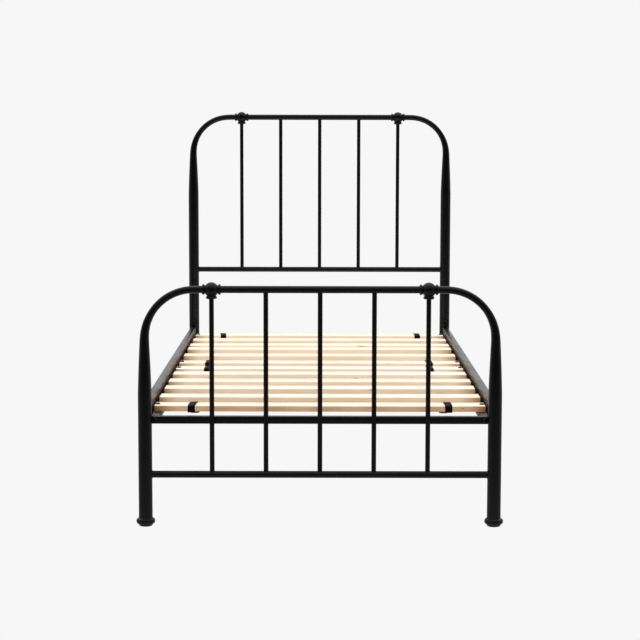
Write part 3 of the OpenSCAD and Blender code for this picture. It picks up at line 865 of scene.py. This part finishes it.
for end, way, side_name, side in CORNERS:
    node = f"{end}_tab_{side_name}"
    x0, x1, z0, z1 = extents(node, 0)
    half = (z1 - z0) / 2
    turn = np.linspace(np.pi / 2, 3 * np.pi / 2, 17)
    nose = np.stack([x0 + half + half * np.cos(turn),
                     (z0 + z1) / 2 + half * np.sin(turn)], axis=1)
    outline = np.vstack([nose, [[x1, z0 + tab_edge], [x1, z1 - tab_edge]]])
    shell = run_along_y(section_grid(outline, *span(node, 1), tab_edge, 0), side)
    make_piece(f"{node}_plate", [shell], [node], 30.0)

for node in [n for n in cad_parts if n.startswith("saddle_")]:
    side = 1 if middle(node, 0) > 0 else -1
    way = 1 if middle(node, 1) > 0 else -1
    reach_angle = math.asin(width(node, 0) / 2 / saddle_r)
    turn = np.linspace(-reach_angle, reach_angle, 25)
    outer = np.stack([saddle_r * np.sin(turn), saddle_r * np.cos(turn)], axis=1)
    inner = np.stack([post_r * np.sin(turn[::-1]), post_r * np.cos(turn[::-1])], axis=1)
    grid = section_grid(np.vstack([outer, inner]), *span(node, 2), plate_edge, 3)
    x = side * (post_x + grid[..., 1])
    y = way * (end_y - grid[..., 2])
    shell = closed_shell(np.stack([x, y, grid[..., 0]], axis=-1))
    make_piece(f"{node}_plate", [shell], [node], 30.0)

# %% [markdown]
# ## Slats
#
# Each slat is a softwood board with slightly eased edges. Real boards bow and twist a little.
# A Bend modifier could do that, but here each slat is an outline carried along X, and then
# lifted by a gentle curve of its own.

# %% Slats
rng = np.random.default_rng(12)
slat_nodes = sorted(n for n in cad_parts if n.startswith("slat_") and n[5:].isdigit())
bows = {8: 0.0, 9: 0.0012}  # slats whose bow is set, counted from 0
slat_edge_lighting = {0: 0.66, 1: 0.93, 2: 0.96}  # painted shade on the front slats' edges, where 1 is unshaded
edge_r, end_r = 0.0007, 0.0006
for index, node in enumerate(slat_nodes):
    (x0, x1), (y0, y1), (z0, z1) = (span(node, axis) for axis in range(3))
    grid = section_grid(box_outline(y0, y1, z0, z1, edge_r, 4), x0, x1, end_r, 40)
    share = grid[..., 0] / x1
    across = grid[..., 1] - (y0 + y1) / 2
    drawn_bow = rng.uniform(-0.0006, 0.0007)  # drawn for every slat, used or not
    bow = bows.get(index, drawn_bow)
    twist = rng.uniform(-0.0006, 0.0006)  # lift at 35 mm from the board's middle line
    lift = (bow + twist * share * across / 0.035) * (1 - share ** 2)
    board = np.stack([grid[..., 0] + rng.uniform(0, 40), across + rng.uniform(-0.09, 0.09),
                      grid[..., 2] - z0 + rng.uniform(0.03, 0.12)], axis=-1)
    grid[..., 2] += lift
    # the third value is the painted shade level of the board's edges
    plank = np.stack([share, across / ((y1 - y0) / 2),
                      np.full(share.shape, slat_edge_lighting.get(index, 1.0))], axis=-1)
    marks = [(mark, np.vstack([values.reshape(-1, 3), values[[0, -1]].mean(axis=1)]))
             for mark, values in (("board", board), ("plank", plank))]
    make_piece(f"{node}_board", [closed_shell(grid)], [node], 40.0, pine, marks)

# %% [markdown]
# ## Straps
#
# A strap of webbing runs under each roll of slats, one near each end, and goes right round the
# first and the last slat of its roll. Between slats it sags a little, and round an end slat it
# stands off the wood. Cloth simulation could find such a shape, but a thin section carried
# along a path, once for the run and once round each end slat, is easier to repeat.


# %% Straps
strap_t = 0.0015
strap_slack, strap_sag = 0.0016, 0.0022  # off an end slat, and between two slats
strap_gap, strap_bend = 0.0002, 0.0022  # clearance to the wood, and radius of its corners


def strap_shell(path, x, ring):
    """Carries the strap's section, flat faces with soft edges, along a path in Y and Z. x is
    the place of the strap's middle, one number or one for each row. Its own coordinates are
    the distance along the path and the distance across the strap."""
    path = np.asarray(path, float)
    if ring:
        ahead = np.roll(path, -1, axis=0) - np.roll(path, 1, axis=0)
    else:
        ahead = np.gradient(path, axis=0)
    ahead /= np.linalg.norm(ahead, axis=1, keepdims=True)
    normal = np.stack([-ahead[:, 1], ahead[:, 0]], axis=1)
    section = box_outline(-strap_w / 2, strap_w / 2, -strap_t / 2, strap_t / 2,
                          strap_t * 0.42, 4)
    step = np.linalg.norm(np.diff(path, axis=0), axis=1)
    along = np.concatenate([[0.0], np.cumsum(step)])
    grid = np.empty((len(path), len(section), 3))
    grid[..., 0] = np.broadcast_to(x, len(path))[:, None] + section[None, :, 0]
    grid[..., 1] = path[:, None, 0] + normal[:, None, 0] * section[None, :, 1]
    grid[..., 2] = path[:, None, 1] + normal[:, None, 1] * section[None, :, 1]
    marks = np.zeros(grid.shape)
    marks[..., 0], marks[..., 1] = along[:, None], section[:, 0]
    marks = marks.reshape(-1, 3)
    if not ring:
        marks = np.vstack([marks, [along[0], 0, 0], [along[-1], 0, 0]])
    return closed_shell(grid, ring), marks


def loop_path(y0, y1, z0, z1):
    """A path round a slat: a rounded rectangle half a strap outside it, standing off by the
    slack in the middle of the top, and by half of it in the middle of the two sides."""
    off = strap_t / 2 + strap_gap
    base = rounded_outline([(y0 - off, z0 - off - strap_t), (y1 + off, z0 - off - strap_t),
                            (y1 + off, z1 + off), (y0 - off, z1 + off)], strap_bend, 6)
    fine = []
    for here, after in zip(base, np.roll(base, -1, axis=0)):
        pieces = max(1, int(np.linalg.norm(after - here) / 0.004))
        fine += [here + (after - here) * k / pieces for k in range(pieces)]
    fine = np.array(fine)
    across = np.clip((fine[:, 0] - y0) / (y1 - y0), 0.0, 1.0)
    high = np.clip((fine[:, 1] - z0) / (z1 - z0), 0.0, 1.0)
    top = (fine[:, 1] > z1).astype(float)
    fine[:, 1] += top * strap_slack * np.sin(np.pi * across) ** 1.5
    front = (fine[:, 0] < y0).astype(float) - (fine[:, 0] > y1).astype(float)
    fine[:, 0] -= front * strap_slack * 0.5 * np.sin(np.pi * high)
    return fine


def run_path(slats):
    """The run under a roll: level under each slat, with a small sag between slats."""
    first, last = slats[0], slats[-1]
    y = np.linspace(middle(first, 1), middle(last, 1), 240)
    z = np.full_like(y, ledge_top - strap_t / 2)
    for one, other in zip(slats[:-1], slats[1:]):
        low, high = span(one, 1)[1], span(other, 1)[0]
        share = np.clip((y - low) / (high - low), 0.0, 1.0)
        z -= strap_sag * np.sin(np.pi * share) ** 2
    return np.stack([y, z], axis=1)


# how far outwards each strap lies at its first and last slat, and how far it leans across them
drifts = {"strap_front_left": (-0.002, 0.002), "strap_back_left": (0.007, 0.002),
          "strap_front_right": (0.0, -0.003), "strap_back_right": (0.003, 0.006)}
leans = {"strap_front_left": (0.004, 0.003), "strap_back_left": (0.003, -0.005),
         "strap_front_right": (0.001, 0.003), "strap_back_right": (0.003, 0.001)}
for roll, slats in (("front", slat_nodes[:6]), ("back", slat_nodes[6:])):
    for side_name, side in SIDES.items():
        node = f"strap_{roll}_{side_name}"
        x = middle(node, 0)
        near, far = drifts[node]
        run = run_path(slats)
        drift = np.interp(run[:, 0], (run[0, 0], run[-1, 0]), (near, far))
        pieces = [strap_shell(run, x + side * drift, False)]
        for slat, drift, slant in zip((slats[0], slats[-1]), (near, far), leans[node]):
            path = loop_path(*span(slat, 1), *span(slat, 2))
            lean = (path[:, 0] - middle(slat, 1)) / width(slat, 1) * slant
            pieces.append(strap_shell(path, x + side * (drift - lean), True))
        shells = [shell for shell, marks in pieces]
        marks = np.vstack([marks for shell, marks in pieces])
        piece = make_piece(f"{node}_webbing", shells, [node], 40.0, webbing,
                           [("strap", marks)])

# %% [markdown]
# ## Bolts and screws
#
# The rails are held by bolts with low round heads and hexagon sockets, and the slats by screws
# with cross-shaped recesses. A boolean could cut a recess, but a head is one surface in polar
# coordinates: a slice of a ball, pushed down inside the outline of its recess.


# %% Fasteners
def head_shell(centre, axis, way, shank_d, head_d, shank_l, recess):
    """Rows run from the shank's tip out along the shank, under the head, round its rim and
    over the top to the middle. Inside the recess the height falls to its floor."""
    head_r, head_h = head_d / 2, head_d * 0.3
    ball = (head_r ** 2 + head_h ** 2) / (2 * head_h)
    turn = np.linspace(0.0, 2 * np.pi, 48, endpoint=False)
    stem_r = np.array([shank_d / 2 - 0.0006, shank_d / 2, shank_d / 2, head_r - 0.0004, head_r])
    stem_w = np.array([-shank_l, -shank_l + 0.0006, 0.0, 0.0, 0.0004])
    top_r = head_r * np.cos(np.linspace(0.0, np.pi / 2, 26))[1:-1]
    r = np.concatenate([stem_r, top_r])[:, None]
    u, v = r * np.cos(turn), r * np.sin(turn)
    dome = np.sqrt(np.maximum(ball ** 2 - top_r ** 2, 0.0)) + head_h - ball
    w = np.concatenate([stem_w, dome])[:, None] + 0.0 * turn
    if recess == "hexagon":
        fold = np.pi / 6 - np.abs(np.mod(turn, np.pi / 3) - np.pi / 6)
        reach = r * np.cos(np.pi / 6 - fold)
        inside = 1 - np.clip((reach - head_d * 0.19) / 0.0004, 0.0, 1.0)
    else:
        narrow, wide = np.sort([np.abs(u), np.abs(v)], axis=0)
        inside = (1 - np.clip((narrow - 0.0006) / 0.0004, 0.0, 1.0)) * (
            1 - np.clip((wide - head_d * 0.26) / 0.0006, 0.0, 1.0))
    over = (np.arange(len(r)) >= len(stem_r))[:, None]
    w = np.where(over, w - inside * np.minimum(w - 0.0003, head_h * 0.65), w)
    long = way * w
    parts = {1: (u, long, v), 2: (u, v, long)}[axis]
    return closed_shell(np.stack(parts, axis=-1) + np.array(centre))


# each is shank diameter, head diameter and shank length
rail_bolt, tab_bolt, screw = (0.008, 0.0124, 0.018), (0.006, 0.012, 0.010), (0.006, 0.0145, 0.0225)
frame_screw_head = 0.0115  # the frame's own screw heads, which give the screws' places
rail_mid = middle("side_rail_left", 2)
bolt_rise = (width("rail_bolts", 2) - rail_bolt[1]) / 2
tab_face = 0.003  # the tabs' outer faces lie this far inside the posts' line
bolts, tab_bolts, screws = [], [], []
tab_z = middle("footboard_tab_left", 2)
tab_bolt_x = span("end_rail_bolts", 0)[1] - tab_bolt[1] / 2
for end, way, side_name, side in CORNERS:
    for rise in (-bolt_rise, bolt_rise):
        seat = (side * post_x, way * (end_y - saddle_r), rail_mid + rise)
        bolts.append(head_shell(seat, 1, -way, *rail_bolt, "hexagon"))
    seat = (side * tab_bolt_x, way * (end_y - tab_face), tab_z)
    tab_bolts.append(head_shell(seat, 1, way, *tab_bolt, "hexagon"))
screw_x = span("slat_screws", 0)[1] - frame_screw_head / 2
for index in (0, 5, 6, 11):  # the first and last slat of each roll
    for side in SIDES.values():
        seat = (side * screw_x, middle(slat_nodes[index], 1), slat_top)
        screws.append(head_shell(seat, 2, 1, *screw, "cross"))
for node, heads in (("rail_bolts", bolts), ("end_rail_bolts", tab_bolts), ("slat_screws", screws)):
    make_piece(f"{node[:-1]}_set", heads, [node], 30.0, black_zinc)

# %% [markdown]
# ## Pieces kept from the frame
#
# The square nuts inside the posts never show, so they stay as they are and only get the
# fasteners' finish.

# %% Kept pieces
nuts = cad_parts["rail_nuts"]
nuts.data.materials.clear()
nuts.data.materials.append(black_zinc)
print("kept", nuts.name)
